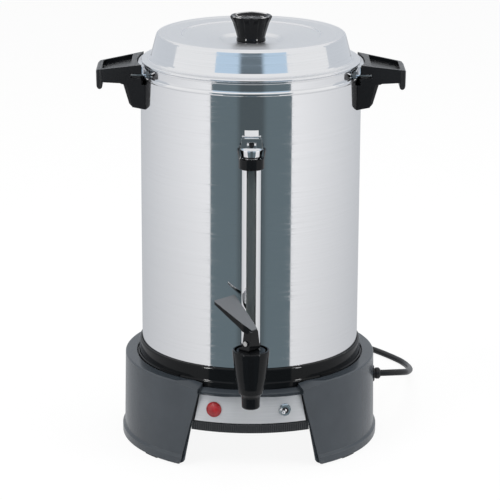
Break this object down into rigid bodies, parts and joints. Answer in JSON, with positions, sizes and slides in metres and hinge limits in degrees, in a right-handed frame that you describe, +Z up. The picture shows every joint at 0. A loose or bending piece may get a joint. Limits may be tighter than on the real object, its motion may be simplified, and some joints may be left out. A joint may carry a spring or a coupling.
{
  "type": "coffee urn",
  "caption": "Tall cylindrical coffee urn with a stepped lid, side handles, a front drip faucet, a vertical level gauge and a flared base with a control panel.",
  "frame": {"origin": "on the pot's axis at the counter", "axes": "+Z up, -Y towards the faucet, +X towards the side where the cord leaves"},
  "size_m": [0.3515, 0.475, 0.4553],
  "materials": {
    "polished_aluminium": "mirror polished",
    "lid_aluminium": "polished with a faint spun grain",
    "black_gloss": "glossy phenolic",
    "black_satin": "satin phenolic",
    "grey_shell": "fine textured",
    "silver_plate": "satin",
    "red_lens": "clear red",
    "lamp_glass": "clear",
    "switch_plastic": "moulded",
    "bright_chrome": "polished",
    "plain_steel": "plain",
    "black_screw": "blackened",
    "cover_metal": "plated sheet",
    "foot_rubber": "matt",
    "heater_sheath": "heat darkened sheath",
    "inner_aluminium": "satin",
    "thermostat_body": "phenolic",
    "fuse_body": "sleeved",
    "lead_white": "sleeving",
    "silicone": "food grade",
    "gauge_rubber": "matt",
    "gauge_glass": "clear",
    "cord_black": "satin",
    "blade_brass": "plain"
  },
  "bodies": {
    "urn": {"pot": "polished_aluminium", "seat_ring": "black_gloss", "faucet_body": "black_gloss", "bonnet": "black_gloss", "gauge_collar": "black_gloss", "handle_left": "black_satin", "handle_right": "black_satin", "control_housing": "black_satin", "base_shell": "grey_shell", "control_plate": "silver_plate", "pilot_lens": "red_lens", "pilot_lamp": "lamp_glass", "switch_body": "switch_plastic", "toggle_nut": "bright_chrome", "handle_brackets": "bright_chrome", "gauge_shield": "bright_chrome", "gauge_cap": "bright_chrome", "cover_screws": "plain_steel", "clamp_nut": "plain_steel", "well_clamp": "plain_steel", "handle_screws": "plain_steel", "shank_nut": "plain_steel", "valve_spring": "plain_steel", "gauge_screw": "black_screw", "bottom_cover": "cover_metal", "rubber_feet": "foot_rubber", "heating_element": "heater_sheath", "warmer_plate": "inner_aluminium", "thermostat": "thermostat_body", "thermal_fuse": "fuse_body", "wiring": "lead_white", "outer_washer": "silicone", "inner_washer": "silicone", "gauge_washers": "gauge_rubber", "gauge_glass": "gauge_glass", "strain_relief": "cord_black", "cord": "cord_black", "cord_coil": "cord_black", "plug": "cord_black", "plug_blades": "blade_brass"},
    "seat_cup_body": {"seat_cup": "silicone"},
    "valve_rod": {"valve_stem": "plain_steel", "lever_pin": "plain_steel"},
    "faucet_lever_body": {"faucet_lever": "black_gloss"},
    "toggle": {"toggle_lever": "bright_chrome"},
    "pump_stem": {"stem": "inner_aluminium", "stem_base": "inner_aluminium"},
    "pump_valve": {"pump_disc": "inner_aluminium"},
    "coffee_basket": {"basket": "inner_aluminium"},
    "basket_cover": {"spreader": "inner_aluminium"},
    "lid_assembly": {"lid": "lid_aluminium", "knob": "black_gloss", "knob_screw": "plain_steel"}
  },
  "joints": [
    {"name": "valve_lift", "type": "slide", "parent": "urn", "child": "seat_cup_body", "axis": [0, 0, 1], "range_m": [0, 0.004], "stiffness_N_per_m": 60, "springref_m": -0.02, "deforming": ["valve_spring"]},
    {"name": "lever_swivel", "type": "hinge", "parent": "seat_cup_body", "child": "valve_rod", "pos_m": [0, -0.1615, 0.12], "axis": [0, 0, 1], "range_deg": [0, 265]},
    {"name": "lever_tilt", "type": "hinge", "parent": "valve_rod", "child": "faucet_lever_body", "pos_m": [0, -0.1615, 0.1506], "axis": [-0.6947, -0.7193, 0], "range_deg": [0, 28]},
    {"name": "toggle_swing", "type": "hinge", "parent": "urn", "child": "toggle", "pos_m": [0.03622, -0.12629, 0.06526], "axis": [-0.0333, 0.1343, 0.9904], "range_deg": [0, 50]},
    {"name": "stem_lift", "type": "slide", "parent": "urn", "child": "pump_stem", "axis": [0, 0, 1], "range_m": [0, 0.3]},
    {"name": "pump_valve_lift", "type": "slide", "parent": "pump_stem", "child": "pump_valve", "axis": [0, 0, 1], "range_m": [0, 0.004]},
    {"name": "basket_lift", "type": "slide", "parent": "pump_stem", "child": "coffee_basket", "axis": [0, 0, 1], "range_m": [0, 0.1]},
    {"name": "cover_lift", "type": "slide", "parent": "coffee_basket", "child": "basket_cover", "axis": [0, 0, 1], "range_m": [0, 0.05]},
    {"name": "lid_lift", "type": "slide", "parent": "basket_cover", "child": "lid_assembly", "axis": [0, 0, 1], "range_m": [0, 0.15]}
  ],
  "couplings": [
    {"joint": "valve_lift", "follows": "lever_tilt", "m_per_rad": 0.0075}
  ]
}
